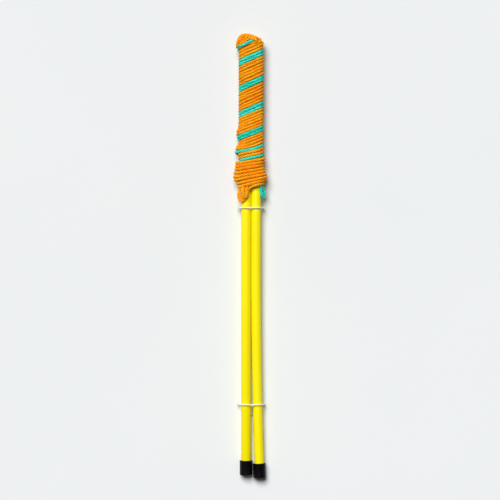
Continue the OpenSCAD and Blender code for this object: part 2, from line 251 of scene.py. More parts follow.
def strand_r(k, turns, y, ring):
    """How far a strand stands off: it lies on the sticks, or rides over what lies there."""
    r = NEAR_R + LOOSENESS * (1 + math.sin(LOOSE_RATE * turns + LOOSE_OWN * k))
    if k == CLIMBER:
        r += (FAR_R - NEAR_R) * sum(bump(turns, *lift) for lift in CLIMBER_LIFTS)
    on_the_left = math.sin(math.pi * min((ring % TURN_RINGS) / ARC_STEPS, 1))
    slack = sum(out * hill(y, top, width) for out, top, width in SLACK_PLACES)
    return r + on_the_left * slack


def tilted(point):
    """Near the wrap the strands lie flatter on the front, and steeper on the back."""
    return point - UP * FLATTER * point[0] * ease(FLATTER_BELOW - point[1], 0, FLATTER_FADE)


def strand_point(k, ring, raised=0):
    """A point of strand k at a ring, raised by so many places in the row."""
    turns = turn_at(ring)
    y = strand_y(k, turns) + raised * LEAD_TOP / STRANDS
    return tilted(ring_point(ring, y, strand_r(k, turns, y, ring)))


print("the green pair crosses the middle at", [round(wound_y(n), 1) for n in range(4)], "mm")

# %% [markdown]
# At the tips, four cord ends stand in each tube's hole and bend over its rim. No formula
# gives that tangle, so the points are listed, one list for each strand, from the hole to
# where its regular turns begin. Strand 3 crosses from the right tip over the left one and
# hangs loose round the whole top. Strand 0, a green one, lies over the front.

# %% From the knots in the tubes over the tips
TIP_SIDE = [1, -1, -1, 1, 1, 1, -1, -1]
HOLE_ANGLE = [300, 168, 258, 120, 30, 210, -12, 78]
HOLE_RING_R = 2.015
OVER_THE_TIPS = {
    0: [
        (3.6, 223.9, 1.0), (3.6, 223.9, 3.6), (3.2, 223.3, 5.8), (1.8, 222.7, 7.3), (0, 222.1, 8.0),
        (-2.6, 220.8, 8.6), (-5.2, 219.5, 9.0), (-8.6, 217.9, 8.2), (-11.2, 216.7, 5.9),
        (-12.8, 215.5, 2.6), (-12.8, 213.4, -0.6), (-12.2, 212.4, -4.0), (-9.6, 212.6, -7.6),
        (-5.2, 213.6, -9.0), (0.5, 214.6, -8.8),
    ],
    1: [
        (-6.0, 227.0, -3.4), (-6.2, 226.2, -5.4), (-5.6, 224.4, -6.7), (-3.6, 222.5, -6.6),
        (0, 220.4, -6.5),
    ],
    2: [
        (-2.9, 227.2, 1.0), (-1.4, 226.8, 3.0), (-1.3, 225.4, 5.2), (-3.4, 223.8, 6.9),
        (-6.2, 222.0, 7.6), (-8.9, 220.3, 7.3), (-11.2, 218.8, 5.0), (-12.5, 217.9, 1.6),
        (-12.5, 217.7, -2.0), (-10.4, 218.3, -5.6), (-6.0, 219.3, -6.9), (0, 220.6, -7.0),
        (5.2, 221.7, -6.6),
    ],
    3: [
        (6.3, 224.0, 0.6), (6.6, 224.7, 2.9), (6.4, 225.4, 4.6), (5.0, 226.2, 5.2),
        (2.6, 227.2, 4.4), (-0.6, 228.2, 3.0), (-4.6, 229.0, 2.0), (-8.4, 228.6, 2.4),
        (-11.3, 226.8, 3.0), (-13.1, 223.8, 3.4), (-14.1, 220.4, 3.9), (-14.4, 217.6, 3.6),
        (-14.4, 216.0, 0.8), (-13.6, 215.8, -2.8), (-11.4, 216.2, -6.6), (-8.0, 216.9, -9.0),
        (-3.0, 218.0, -9.6), (2.0, 219.4, -9.4), (6.4, 220.8, -8.6), (9.9, 221.7, -6.4),
        (11.8, 220.9, -2.2),
    ],
    4: [
        (7.6, 224.6, 0.4), (9.0, 225.0, 1.4), (9.8, 223.6, 3.2), (9.4, 221.9, 4.8),
        (8.0, 220.6, 6.0),
    ],
    5: [
        (4.3, 225.0, 2.2), (3.0, 225.9, 3.2), (0.9, 226.2, 4.8), (0.5, 225.3, 6.9),
        (2.3, 224.5, 8.8), (4.8, 223.6, 9.1), (5.9, 222.3, 8.7), (5.2, 221.3, 7.8),
        (3.2, 220.8, 7.1), (1.2, 220.3, 6.7), (-0.6, 219.8, 6.5),
    ],
    6: [
        (-4.5, 227.2, 3.2), (-4.0, 227.2, 5.1), (-4.6, 226.0, 6.6), (-6.8, 224.3, 7.2),
        (-9.3, 222.2, 6.6), (-11.0, 220.0, 4.4),
    ],
    7: [
        (-6.7, 227.4, 1.6), (-6.9, 227.8, 3.6), (-8.2, 226.9, 5.1), (-10.4, 224.8, 5.0),
        (-12.0, 222.0, 3.0), (-12.7, 219.8, 0.6), (-12.6, 218.3, -2.7), (-10.8, 217.2, -5.4),
        (-7.6, 216.4, -6.8),
    ],
}
FIRST_RING = [-6, -6, -5, -3, -1, 0, 2, 5]


def tip_point(k, up):
    """Where strand k stands in its tube, so far above the tube's end."""
    side, angle = TIP_SIDE[k], math.radians(HOLE_ANGLE[k])
    x, z = HALF + HOLE_RING_R * math.sin(angle), -HOLE_RING_R * math.cos(angle)
    return np.array([side * x, TIP_HEIGHTS[side] + up, side * z])


def tip_route(k):
    """Straight up through the bush, then along the listed points."""
    heights = (-BUSH_LEN - KNOT_SLACK, -BUSH_LEN / 2, BUSH_FLANGE)
    inside = [tip_point(k, up) for up in heights]
    return inside + [np.array(point, float) for point in OVER_THE_TIPS[k]]


print("cord ends in each tip:", TIP_SIDE.count(-1), "and", TIP_SIDE.count(1))

# %% [markdown]
# At the other end each strand but the last leaves its turn on a short bend and runs down as
# a leg under the wrap. Two legs and a round bight make a loop. The orange loops lie bunched
# on the left tube, as a hank does, and the green one on the right. Their points are listed.

# %% Legs and bights
LAST_TURN = 5
BEND = 3.1
BEND_SHARES = ((1, 0.4), (0.3, 0.1), (0, -0.6))
BEND_ROOM = 1.6 * BEND
LEG_S = [-15.0, -11.2, 5.4, 10.6, 13.4, 2.8, 8.0]
LEG_LOW_Y = 78
RING_STEP = 0.25
SETTLING = {6: 0.4}
SETTLING_RINGS = 5
BELOW = {
    "green": [
        (10.5, 72.6, 4.4), (10.1, 68.9, 4.9), (10.5, 65.3, 5.0), (11.6, 62.0, 4.4),
        (13.1, 60.2, 2.4), (14.1, 61.6, -0.2), (13.7, 65.3, 0.0), (12.7, 68.9, 0.6),
        (12.0, 72.6, 0.5),
    ],
    "first": [
        (-7.9, 73.6, 7.0), (-8.0, 70.4, 8.2), (-8.1, 66.8, 8.8), (-8.2, 63.8, 8.8),
        (-7.7, 61.4, 8.6), (-6.2, 60.5, 8.6), (-4.9, 62.2, 8.8), (-4.4, 65.9, 8.9),
        (-4.3, 69.5, 8.6), (-3.6, 73.6, 7.3),
    ],
    "second": [
        (-10.2, 73.6, 4.8), (-9.4, 69.4, 5.5), (-9.6, 65.3, 5.7), (-10.2, 61.7, 5.2),
        (-9.8, 59.3, 5.4), (-8.2, 58.5, 6.2), (-6.9, 60.4, 6.9), (-6.4, 64.8, 7.0),
        (-6.0, 69.4, 6.8), (-5.5, 73.6, 6.5),
    ],
    "long": [
        (-1.2, 70.8, 7.6), (-2.6, 68.9, 6.9), (-3.1, 66.3, 6.5), (-3.7, 62.8, 6.5),
        (-5.9, 59.7, 6.5), (-8.1, 57.4, 6.1), (-9.8, 56.3, 5.1), (-11.5, 57.2, 3.8),
        (-12.5, 59.8, 2.4), (-13.1, 63.2, 1.6), (-12.2, 67.1, 2.2), (-11.7, 70.5, 2.4),
        (-11.6, 74.2, 2.5),
    ],
}


def leg_route(k):
    """From the last turn round a short bend, and down under the wrap."""
    s = LEG_S[k]
    y = tilted(skin_point(s, strand_y(k, LAST_TURN + s / GIRTH), NEAR_R))[1]
    steps = [(back * BEND, up * BEND) for back, up in BEND_SHARES]
    steps += [(0, (LEG_LOW_Y - y) / 2), (0, LEG_LOW_Y - y)]
    return [skin_point(s - back, y + up, NEAR_R) for back, up in steps]


def wound_route(k):
    """A strand from its knot, over the tip and round the sticks, to the foot of its leg."""
    last = LAST_TURN + (LEG_S[k] - BEND_ROOM) / GIRTH
    turns = []
    for ring in np.arange(FIRST_RING[k], TURN_RINGS * (LAST_TURN + 1), RING_STEP):
        if turn_at(ring) < last:
            raised = SETTLING.get(k, 0) * ease(SETTLING_RINGS - ring, 0, SETTLING_RINGS)
            turns.append(strand_point(k, ring, raised))
    return tip_route(k) + turns + leg_route(k)


def looped(left_k, right_k, name):
    """One whole cord: wound, looped below the wrap, and wound back."""
    bight = [np.array(point) for point in BELOW[name]]
    return wound_route(left_k) + bight + wound_route(right_k)[::-1]


green_route = looped(1, 0, "green")
orange_1_route = looped(6, 5, "first")
orange_2_route = looped(3, 2, "second")
print("points of three routes:", len(green_route), len(orange_1_route), len(orange_2_route))

# %% [markdown]
# The longest cord has much left when its turns are done. It climbs out of the row on the
# right, goes eight times round everything, a whole layer further out, and only then hangs
# in its loop. The wrap slants a little, more so at its end, and its sides bulge and draw
# in. A table says by how much: evenly, in hills, and where it is tucked in at its end.

# %% The wrap of the longest cord
WRAP_TURNS = 8
WRAP_PITCH = 3.36
WRAP_DROP = 126.4
WRAP_Y = TIP_Y - WRAP_DROP
WRAP_SLANT = 0.09
WRAP_END_SLANT = 0.13
FIRST_TURN_DIP = (0.6, 0.05, 0.2)
OUT_WAVE, OUT_RATE = 0.12, 5.3
UP_WAVE, UP_RATE = 0.15, 4.1
WRAP_SIDES = {
    -1: (0.6, [(2.4, 85.5, 6)], (2.6, 80, 4)),
    1: (-0.9, [(-1.3, 91.6, 4), (2.2, 80, 4)], (0.6, 76, 3)),
}
CLIMB_TURN = 4
CLIMB_RING = TURN_RINGS * CLIMB_TURN + ARC_STEPS + 2
CLIMB_SHARES = [0.2, 0.55, 0.85, 1, 1]
WRAP_FIRST = CLIMB_RING + len(CLIMB_SHARES)
WRAP_LAST = WRAP_FIRST + TURN_RINGS * WRAP_TURNS - 3 * RING_STEP


def side_bulge(side, y):
    """How far the wrap stands out on one side at a height."""
    bulge, hills, (tuck, tuck_y, tuck_run) = WRAP_SIDES[side]
    for out, top, width in hills:
        bulge += out * hill(y, top, width)
    return bulge - tuck * ease(tuck_y - y, 0, tuck_run)


def wrap_point(ring):
    """A point of the wrap, which rides over what lies below."""
    turns = turn_at(ring) - turn_at(WRAP_FIRST)
    y = WRAP_Y - WRAP_PITCH * turns
    part = ring % TURN_RINGS
    left = math.sin(math.pi * min(part / ARC_STEPS, 1))
    right = math.sin(math.pi * min(max(part - ARC_STEPS - 1, 0) / ARC_STEPS, 1))
    r = FAR_R + OUT_WAVE * math.sin(OUT_RATE * turns)
    r += left * side_bulge(-1, y)
    r += right * side_bulge(1, y)
    flat = ring_point(ring, y, r)
    slant = WRAP_SLANT + WRAP_END_SLANT * (turns / WRAP_TURNS) ** 2
    dip, dip_at, dip_width = FIRST_TURN_DIP
    rise = slant * flat[0] + UP_WAVE * math.sin(UP_RATE * turns)
    return flat + UP * (rise - dip * hill(turns, dip_at, dip_width))


long_route = tip_route(7)
long_route += [strand_point(7, ring) for ring in np.arange(FIRST_RING[7], CLIMB_RING, RING_STEP)]
for n, share in enumerate(CLIMB_SHARES):
    ring = CLIMB_RING + n
    r = NEAR_R + share * (FAR_R - NEAR_R)
    point = tilted(ring_point(ring, strand_y(7, turn_at(ring)), r))
    long_route.append(point + (wrap_point(ring) - point) * share)
long_route += [wrap_point(ring) for ring in np.arange(WRAP_FIRST, WRAP_LAST + 0.1, RING_STEP)]
long_route += [np.array(point) for point in BELOW["long"]] + wound_route(4)[::-1]
print("points of the longest route:", len(long_route))

# %% [markdown]
# The routes are made smooth before they carry a rope: a curve through all the points, then
# even steps, then a light averaging that takes out the last kinks. One turn and one lift
# lay everything on the floor, and the same two are used for every other piece.

# %% Smoothing, and laying the part down
LIE_ANGLE = math.radians(0.841811)
LIFT = 9.91005
LAID = Matrix.Translation((0, 0, LIFT * MM)) @ Matrix.Rotation(LIE_ANGLE, 4, "X")
LAID = LAID @ Matrix.Scale(MM, 4)
LAID_ARRAY = np.array(LAID)
ROPE_STEP = 0.5
CURVE_PIECES = 8
LEAST_GAP = 0.05
AVERAGINGS = 8


def evenly(points, step):
    """Points at equal steps along a line."""
    points = np.array(points)
    gaps = np.linalg.norm(np.diff(points, axis=0), axis=1)
    along = np.concatenate([[0], np.cumsum(gaps)])
    at = np.linspace(0, along[-1], round(along[-1] / step) + 1)
    return np.stack([np.interp(at, along, points[:, i]) for i in range(3)], axis=1)


def through(points):
    """A Catmull-Rom curve through the points, with knots spaced by distance."""
    points = np.array(points, float)
    gaps = np.linalg.norm(np.diff(points, axis=0), axis=1)
    points = points[np.concatenate([[True], gaps > LEAST_GAP])]
    p = np.array([2 * points[0] - points[1], *points, 2 * points[-1] - points[-2]])
    gaps = np.linalg.norm(np.diff(p, axis=0), axis=1)
    knots = np.concatenate([[0], np.cumsum(np.sqrt(gaps))])
    line = []
    for i in range(1, len(p) - 2):
        k0, k1, k2, k3 = knots[i - 1 : i + 3]
        for t in np.linspace(k1, k2, CURVE_PIECES, endpoint=False):
            a = ((k1 - t) * p[i - 1] + (t - k0) * p[i]) / (k1 - k0)
            b = ((k2 - t) * p[i] + (t - k1) * p[i + 1]) / (k2 - k1)
            c = ((k3 - t) * p[i + 1] + (t - k2) * p[i + 2]) / (k3 - k2)
            d = ((k2 - t) * a + (t - k0) * b) / (k2 - k0)
            e = ((k3 - t) * b + (t - k1) * c) / (k3 - k1)
            line.append(((k2 - t) * d + (t - k1) * e) / (k2 - k1))
    return np.array([*line, p[-2]])


def smoothed(points, step=ROPE_STEP, averagings=AVERAGINGS):
    """An even, smooth line through the points."""
    line = evenly(through(points), step)
    for _ in range(averagings):
        line[1:-1] = (line[:-2] + 2 * line[1:-1] + line[2:]) / 4
    return evenly(line, step)


def laid(points):
    """The points on the floor, in metres."""
    return np.array(points) @ LAID_ARRAY[:3, :3].T + LAID_ARRAY[:3, 3]


print("laid down by", round(math.degrees(LIE_ANGLE), 2), "degrees")

# %% [markdown]
# ## The rope
#
# Each cord is a soft rope of three twisted plies. A round tube with a striped bump would
# lose the wavy outline that shows where strands lie side by side, so the plies are modelled:
# three tubes that turn about the same line. Each point remembers how far out it lies, so that
# the finish can paint shade into the grooves and a highlight onto the crests, and a UV map follows
# the fibres of each ply.

# %% Three plies twisted into a rope
LAY_LENGTH = 9.0
PLIES = 3
PLY_SIDES = 7
PLY_SHARE = 0.53
OFF_SHARE = 0.47
FIRST_SIDE = np.array([0.8, 0.1, 0.6])


def directions(line):
    """Two directions across the line at each point, which turn as little as they can."""
    ahead = np.gradient(line, axis=0)
    ahead /= np.linalg.norm(ahead, axis=1)[:, None]
    side, carried = np.empty_like(line), FIRST_SIDE
    for i, t in enumerate(ahead):
        carried = carried - (carried @ t) * t
        carried /= np.linalg.norm(carried)
        side[i] = carried
    return side, np.cross(ahead, side)


def rope(name, line, radius):
    """A mesh of twisted plies along a line in millimetres, laid on the floor."""
    side, up = directions(line)
    radius = np.broadcast_to(radius, len(line))[:, None]
    run = np.arange(len(line)) * np.linalg.norm(line[1] - line[0])
    rings, points, faces, crest, ply_of = len(line), [], [], [], []
    for ply in range(PLIES):
        turn = 2 * np.pi * (run / LAY_LENGTH + ply / PLIES)
        out = np.cos(turn)[:, None] * side + np.sin(turn)[:, None] * up
        centre = line + OFF_SHARE * radius * out
        for n in range(PLY_SIDES):
            a = turn + 2 * np.pi * n / PLY_SIDES
            away = np.cos(a)[:, None] * side + np.sin(a)[:, None] * up
            points.append(centre + PLY_SHARE * radius * away)
            crest.append(np.full(rings, (1 + math.cos(2 * math.pi * n / PLY_SIDES)) / 2))
            ply_of.append(np.full(rings, ply / (PLIES - 1)))
        first = ply * PLY_SIDES * rings
        for n in range(PLY_SIDES):
            a, b = first + n * rings, first + (n + 1) % PLY_SIDES * rings
            faces += [(a + i, b + i, b + i + 1, a + i + 1) for i in range(rings - 1)]
        faces.append([first + n * rings for n in reversed(range(PLY_SIDES))])
        faces.append([first + (n + 1) * rings - 1 for n in range(PLY_SIDES)])
    mesh = bpy.data.meshes.new(name)
    mesh.from_pydata(laid(np.concatenate(points)), [], faces)
    uv = mesh.uv_layers.new(name="UVMap")
    corner = np.zeros(len(mesh.loops), int)
    mesh.loops.foreach_get("vertex_index", corner)
    along = (corner % rings) * (run[1] / LAY_LENGTH)
    places = np.stack([along, (corner // rings % PLY_SIDES) / PLY_SIDES], axis=1)
    strip = 4 * (rings - 1)
    for ply in range(PLIES):
        last = ply * PLY_SIDES * (strip + 2) + (PLY_SIDES - 1) * strip
        seam = slice(last, last + strip)
        places[seam, 1] = np.where(places[seam, 1] < 0.5, 1, places[seam, 1])
    uv.data.foreach_set("uv", places.astype(np.float32).ravel())
    for key, values in (("crest", crest), ("ply", ply_of)):
        attribute = mesh.attributes.new(key, "FLOAT", "POINT")
        attribute.data.foreach_set("value", np.concatenate(values).astype(np.float32))
    mesh.shade_smooth()
    piece = bpy.data.objects.new(name, mesh)
    bpy.context.scene.collection.objects.link(piece)
    print(name, "has", len(mesh.polygons), "faces along", round(run[-1]), "mm")
    return piece


print("a rope is", round(2 * ROPE_R * (OFF_SHARE + PLY_SHARE), 2), "mm over its crests")

# %% [markdown]
# The strands of the real wrap lie against each other with no gap, so a rope is a little
# fuller there, which is where it stands off the sticks between two heights.

# %% Four wound cords
FULLER = 0.13
FULLER_OUT = 1.3
FULLER_FROM, FULLER_TO = 72, 102
FULLER_FADE = 21


def wind(name, route, node):
    """One whole cord as a rope along its route."""
    line = smoothed(route)
    x, y, z = line.T
    outer = np.hypot(np.maximum(abs(x) - HALF, 0), z) > NEAR_R + FULLER_OUT
    in_wrap = outer & (y > FULLER_FROM) & (y < FULLER_TO)
    faded = np.convolve(in_wrap, np.ones(FULLER_FADE) / FULLER_FADE, "same")
    piece = rope(name, line, ROPE_R * (1 + FULLER * faded))
    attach(piece, "left_stick_and_cords")
    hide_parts(node)
    return piece


green_rope = wind("green_rope", green_route, "green_cord")
orange_ropes = [
    wind("first_orange_rope", orange_1_route, "orange_cord_1"),
    wind("second_orange_rope", orange_2_route, "orange_cord_2"),
    wind("long_orange_rope", long_route, "orange_long_cord"),
]

# %% [markdown]
# ## The knots inside the tubes
#
# A knot of the four ends keeps the cords from slipping out of a tip. It sits inside the
# tube, out of sight, so a few fat turns of the same rope round a core are enough.

# %% Stopper knots
KNOT_TURNS = 2.6
KNOT_ROPE_R = 1.2
KNOT_PIECES = 60
KNOT_STEP = 0.4
FEW_AVERAGINGS = 2
CORE_FROM, CORE_TO, CORE_POINTS = 0.02, 1.3, 12
CORE_SWAY, CORE_SWAY_RATE = 0.3, 5


def choose(*pieces):
    """Selects these pieces and nothing else, and makes the last one active."""
    bpy.ops.object.select_all(action="DESELECT")
    for piece in pieces:
        piece.select_set(True)
    bpy.context.view_layer.objects.active = pieces[-1]


def stopper_knot(name, side, node):
    """Turns of rope round a core of rope, below the bush of one stick."""
    top = TIP_HEIGHTS[side] - BUSH_LEN - KNOT_SLACK
    r = KNOT_D / 2 - KNOT_ROPE_R
    wound, core = [], []
    for n in range(KNOT_PIECES + 1):
        share = n / KNOT_PIECES
        a = 2 * math.pi * KNOT_TURNS * share
        y = top - KNOT_ROPE_R - (KNOT_LEN - 2 * KNOT_ROPE_R) * share
        wound.append([side * HALF + r * math.cos(a), y, r * math.sin(a)])
    for share in np.linspace(CORE_FROM, CORE_TO, CORE_POINTS):
        sway = CORE_SWAY * math.sin(CORE_SWAY_RATE * share)
        core.append([side * HALF, top - KNOT_LEN * share, sway])
    turns = rope(name, smoothed(wound, KNOT_STEP, FEW_AVERAGINGS), KNOT_ROPE_R)
    inner = rope(name + "_core", smoothed(core, KNOT_STEP, FEW_AVERAGINGS), KNOT_ROPE_R)
    choose(inner, turns)
    bpy.ops.object.join()
    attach(turns, "left_stick_and_cords")
    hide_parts(node)
    return turns


knots = [
    stopper_knot("left_knot", -1, "left_stopper_knot"),
    stopper_knot("right_knot", 1, "right_stopper_knot"),
]

# %% [markdown]
# ## Modelling by hand
#
# The hard parts are extruded or moulded. They could come from formulas, as the cords do,
# but simple solids that are cut, pulled and bevelled in edit mode are quicker to change and
# closer to how the real ones are made. A few helpers take up what repeats.

# %% Helpers for modelling by hand
ALONG_STICK = (math.pi / 2, 0, 0)
ROUND_SIDES = 64
SMOOTH_ANGLE = 40
SHARP_ANGLE = 50
ENDWAYS = 0.9
SIDEWAYS = 0.5
CLOSE_BY = 0.01


def cylinder(radius, length, x, y):
    """A cylinder along the sticks, with its middle at x and y."""
    bpy.ops.mesh.primitive_cylinder_add(
        vertices=ROUND_SIDES,
        radius=radius * MM,
        depth=length * MM,
        location=(x * MM, y * MM, 0),
        rotation=ALONG_STICK,
    )
    bpy.ops.object.transform_apply(location=True, rotation=True, scale=True)
    return bpy.context.object


def edit(piece):
    """Opens a piece, and nothing else, in edit mode, with everything selected."""
    choose(piece)
    bpy.ops.object.mode_set(mode="EDIT")
    bpy.ops.mesh.select_all(action="SELECT")


def pick(piece, kind, wanted):
    """Selects the faces or edges whose place and direction pass the test."""
    bpy.ops.mesh.select_mode(type="FACE" if kind == "faces" else "EDGE")
    bpy.ops.mesh.select_all(action="DESELECT")
    mesh = bmesh.from_edit_mesh(piece.data)
    mesh.normal_update()
    for part in mesh.faces if kind == "faces" else mesh.edges:
        if kind == "faces":
            chosen = wanted(part.calc_center_median(), part.normal)
        else:
            start, end = [v.co for v in part.verts]
            chosen = wanted((start + end) / 2, end - start)
        if chosen:
            part.select_set(True)
    bmesh.update_edit_mesh(piece.data)


def extrude(distance):
    """Extrudes what is selected, along the sticks."""
    bpy.ops.mesh.extrude_region_move(TRANSFORM_OT_translate={"value": (0, distance * MM, 0)})


def close(piece, name):
    """Leaves edit mode and names the piece."""
    bpy.ops.object.mode_set(mode="OBJECT")
    piece.name = piece.data.name = name


def bevel(piece, name, width, segments, angle=30):
    """Rounds the edges that turn by more than an angle."""
    made = piece.modifiers.new(name, "BEVEL")
    made.width, made.segments, made.limit_method = width * MM, segments, "ANGLE"
    made.angle_limit = math.radians(angle)


def apply_all(piece):
    """Applies the piece's modifiers in their order."""
    bpy.context.view_layer.objects.active = piece
    for modifier in list(piece.modifiers):
        bpy.ops.object.modifier_apply(modifier=modifier.name)


def lay_down(piece, body, node):
    """Turns a finished piece from the drawing plane onto the floor and gives it its body."""
    piece.data.transform(LAID @ Matrix.Scale(1 / MM, 4) @ piece.matrix_world)
    piece.matrix_world = Matrix.Identity(4)
    choose(piece)
    bpy.ops.object.shade_smooth_by_angle(angle=math.radians(SMOOTH_ANGLE))
    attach(piece, body)
    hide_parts(node)
    places = np.array([v.co for v in piece.data.vertices])
    print(piece.name, "measures", *(np.ptp(places, axis=0) / MM).round(1), "mm")


print("round pieces have", ROUND_SIDES, "sides of", 360 / ROUND_SIDES, "degrees")

# %% [markdown]
# ## The sticks
#
# A tube of the wand is extruded plastic: a straight tube with a thin wall and a cut end.
# It is made the same way here: a circle is extruded along the tube's length, Solidify
# gives it its wall, and a small bevel takes the sharpness off both cut ends. The right
# tube is pushed aside by its cap, so its circle is extruded to where the bow starts and
# spun from there about the bow's far centre.

# %% Two extruded tubes
SPIN_STEPS = 28
MERGE_WITHIN = 0.001
RIM_BEVEL = 0.15


def tube(name, side, node, body):
    """A stick, which is straight on the left and bows outwards on the right."""
    bpy.ops.mesh.primitive_circle_add(
        vertices=ROUND_SIDES,
        radius=STICK_D / 2 * MM,
        location=(side * HALF * MM, TIP_HEIGHTS[side] * MM, 0),
        rotation=ALONG_STICK,
    )
    piece = bpy.context.object
    bpy.ops.object.transform_apply(location=True, rotation=True, scale=True)
    edit(piece)
    extrude(-STICK_LEN if side < 0 else -STRAIGHT_LEN)
    if side > 0:
        bow_y = (BOW_Y + CLOSE_BY) * MM
        pick(piece, "edges", lambda place, way: place.y < bow_y)
        bpy.ops.mesh.spin(
            steps=SPIN_STEPS,
            angle=-BOW_ANGLE,
            center=((HALF + BOW_R) * MM, BOW_Y * MM, 0),
            axis=(0, 0, 1),
        )
    bpy.ops.mesh.select_all(action="SELECT")
    bpy.ops.mesh.remove_doubles(threshold=MERGE_WITHIN * MM)
    bpy.ops.mesh.normals_make_consistent(inside=False)
    close(piece, name)
    wall = piece.modifiers.new("wall", "SOLIDIFY")
    wall.thickness, wall.offset = STICK_WALL * MM, -1
    bevel(piece, "rim", RIM_BEVEL, segments=2)
    apply_all(piece)
    lay_down(piece, body, node)
    return piece


left_tube = tube("left_tube", -1, "left_stick", "left_stick_and_cords")
right_tube = tube("right_tube", 1, "right_stick", "right_stick_and_bush")

# %% [markdown]
# ## The end caps
#
# A cap is a soft vinyl sleeve pushed over the tube's end: closed and rounded below, open
# at its mouth, with a thin bead there. It starts as a cylinder whose mouth is inset by the
# wall and pushed in to the floor. Its other rim is bevelled round, and the bead is a ring
# of faces, cut off by a plane, that stands a little proud.

# %% Two pushed-on caps
CAP_EDGE_SEGMENTS = 7
SOFT_BEVEL = 0.06


def cap(name, side, node, body):
    """A cap, made where its stick's tip is the origin and then put on its stick's end."""
    bottom = -STICK_LEN - CAP_FLOOR - CAP_SEAT
    mouth = bottom + CAP_LEN
    bead_y = (mouth - CAP_BEAD_LEN) * MM
    bottom_y = (bottom + CLOSE_BY) * MM
    piece = cylinder(CAP_D / 2, CAP_LEN, 0, bottom + CAP_LEN / 2)
    edit(piece)
    bpy.ops.mesh.bisect(plane_co=(0, bead_y, 0), plane_no=(0, 1, 0))
    pick(piece, "faces", lambda place, out: abs(out.y) < SIDEWAYS and place.y > bead_y)
    outwards = {"value": CAP_BEAD_OUT * MM}
    bpy.ops.mesh.extrude_region_shrink_fatten(TRANSFORM_OT_shrink_fatten=outwards)
    pick(piece, "faces", lambda place, out: out.y > ENDWAYS and place.xz.length < MM)
    bpy.ops.mesh.inset(thickness=(CAP_D / 2 - STICK_D / 2 - CAP_CLEAR) * MM)
    extrude(-(CAP_LEN - CAP_FLOOR))
    pick(piece, "edges", lambda place, way: place.y < bottom_y)
    bpy.ops.mesh.bevel(offset=CAP_EDGE_R * MM, segments=CAP_EDGE_SEGMENTS, affect="EDGES")
    close(piece, name)
    bevel(piece, "soft edges", SOFT_BEVEL, segments=2, angle=SHARP_ANGLE)
    apply_all(piece)
    place = Matrix.Translation((side * HALF * MM, TIP_HEIGHTS[side] * MM, 0))
    if side > 0:
        bow_x = BOW_R * (1 - math.cos(BOW_ANGLE))
        bow_y = -STRAIGHT_LEN - BOW_R * math.sin(BOW_ANGLE)
        past_bow = Matrix.Translation(Vector((bow_x, bow_y, 0)) * MM)
        place = place @ (past_bow @ Matrix.Rotation(BOW_ANGLE, 4, "Z"))
        place = place @ Matrix.Translation((0, STICK_LEN * MM, 0))
    piece.matrix_world = place
    lay_down(piece, body, node)
    return piece


caps = [
    cap("left_vinyl_cap", -1, "left_end_cap", "left_cap"),
    cap("right_vinyl_cap", 1, "right_end_cap", "right_cap"),
]

# %% [markdown]
# ## The tip bushes
#
# A flanged bush in each open tip keeps the cords off the cut edge. It is a cylinder whose
# upper end is widened to the flange and lifted. Both ends are then inset, and a bridge
# between the two inner rings makes the hole.

# %% Two flanged bushes
SLEEVE_R = STICK_D / 2 - STICK_WALL - BUSH_CLEAR
LIP_BEVEL = 0.3


def bush(name, side, node, body):
    """A bush, made in its place in one tip."""
    tip = TIP_HEIGHTS[side]
    foot_y = (tip - BUSH_LEN + CLOSE_BY) * MM
    piece = cylinder(SLEEVE_R, BUSH_LEN, side * HALF, tip - BUSH_LEN / 2)
    edit(piece)
    pick(piece, "faces", lambda place, out: out.y > ENDWAYS)
    extrude(0)
    wide = STICK_D / 2 / SLEEVE_R
    middle = (side * HALF * MM, tip * MM, 0)
    bpy.ops.transform.resize(value=(wide, 1, wide), center_override=middle)
    extrude(BUSH_FLANGE)
    bpy.ops.mesh.inset(thickness=(STICK_D - BUSH_BORE_D) / 2 * MM)
    bpy.ops.mesh.delete(type="FACE")
    pick(piece, "faces", lambda place, out: out.y < -ENDWAYS and place.y < foot_y)
    bpy.ops.mesh.inset(thickness=(SLEEVE_R - BUSH_BORE_D / 2) * MM)
    bpy.ops.mesh.delete(type="FACE")
    bpy.ops.mesh.select_mode(type="EDGE")
    bpy.ops.mesh.select_all(action="DESELECT")
    bpy.ops.mesh.select_non_manifold()
    bpy.ops.mesh.bridge_edge_loops()
    bpy.ops.mesh.select_all(action="SELECT")
    bpy.ops.mesh.normals_make_consistent(inside=False)
    close(piece, name)
    bevel(piece, "lip", LIP_BEVEL, segments=3, angle=SHARP_ANGLE)
    apply_all(piece)
    lay_down(piece, body, node)
    return piece


bushes = [
    bush("left_flanged_bush", -1, "left_tip_bush", "left_stick_and_cords"),
    bush("right_flanged_bush", 1, "right_tip_bush", "right_stick_and_bush"),
]

# %% [markdown]
# ## The ties
#
# Two ties of milky plastic hold the tubes. Each runs straight over both fronts, slants out
# and back, and closes behind the tubes in two ends that are twisted together. They are
# round strands along one smooth line, with rounded ends.

# %% Two milky ties
TIE_D = 1.6
TIE_R = TIE_D / 2
TIE_CLEAR = 0.5
TIE_OUT = STICK_D / 2 + TIE_CLEAR + TIE_R
TIE_CORNER = 1.5 * TIE_D
TIE_W = 29
TIE_ANGLES = (65, 42, 20)
TIE_STEP = 0.6
TIE_ROUNDNESS = 4
TIE_END_BEVEL = 0.5
TIE_END_ANGLE = 60
TAIL_LEN = 9
TAIL_SINK = -0.82 * TIE_OUT
TAIL_TURNS = 2
TAIL_POINTS = 25
UPPER_TIE_GAP = 3.9
LOWER_TIE_GAP = 58
LOOPS_LOW_Y = min(point[1] for point in BELOW["long"]) - ROPE_R
UPPER_TIE_Y = LOOPS_LOW_Y - UPPER_TIE_GAP - TIE_R
LOWER_TIE_Y = CAP_TOP + LOWER_TIE_GAP


